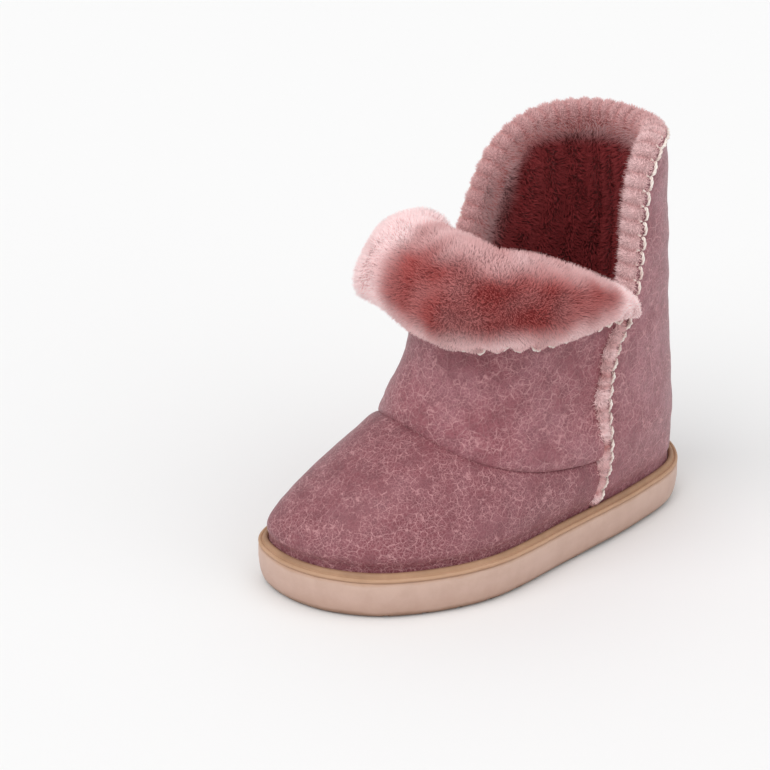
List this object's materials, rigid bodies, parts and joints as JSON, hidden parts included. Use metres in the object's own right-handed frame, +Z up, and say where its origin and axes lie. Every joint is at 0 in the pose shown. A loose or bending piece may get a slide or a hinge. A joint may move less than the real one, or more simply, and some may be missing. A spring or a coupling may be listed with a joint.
{
  "type": "baby bootie",
  "caption": "Baby's left winter bootie in sheepskin: rounded toe, wool cuff folded down in front, tall wool-lined heel collar, cup sole.",
  "frame": {"origin": "on the ground face of the sole, under the middle of the foot", "axes": "+Z up from the ground, +Y from the toe to the heel, +X to the outer side of the foot"},
  "size_m": [0.0713, 0.1476, 0.1279],
  "materials": {
    "sole_rubber": "satin moulded",
    "welt_rubber": "satin moulded",
    "filler_foam": "matte foam",
    "insole_board": "matte board",
    "stiffener": "matte felt",
    "leather": "crackled nappa",
    "wool": "deep sheared pile",
    "pale_wool": "cut edge of the pile",
    "thread": "waxed thread"
  },
  "bodies": {
    "root": {"outsole_cup": "sole_rubber", "sole_welt": "welt_rubber", "midsole_filler": "filler_foam", "insole_board": "insole_board", "footbed_base": "filler_foam", "footbed_wool": "wool", "vamp_leather": "leather", "vamp_wool_lining": "wool", "toe_puff": "stiffener", "heel_counter": "stiffener", "front_shaft_leather": "leather", "front_shaft_wool_lining": "wool", "rear_quarter_leather": "leather", "rear_quarter_wool_lining": "wool", "side_seam_wool_lateral": "pale_wool", "side_seam_wool_medial": "pale_wool", "cuff_leather_lateral": "leather", "cuff_wool_lateral": "wool", "cuff_leather_medial": "leather", "cuff_wool_medial": "wool", "side_seam_thread_lateral": "thread", "side_seam_thread_medial": "thread"},
    "front_flap": {"front_flap_leather": "leather", "front_flap_wool": "wool"},
    "rear_collar": {"rear_collar_leather": "leather", "rear_collar_wool_lining": "wool", "collar_edge_thread": "thread"}
  },
  "joints": [
    {"name": "front_flap_fold", "type": "hinge", "parent": "root", "child": "front_flap", "pos_m": [0, -0.0182, 0.0972], "axis": [-1, 0, 0], "range_deg": [0, 140]},
    {"name": "rear_collar_lean", "type": "hinge", "parent": "root", "child": "rear_collar", "pos_m": [0, 0.0645, 0.075], "axis": [-1, 0, 0], "range_deg": [0, 12]}
  ]
}
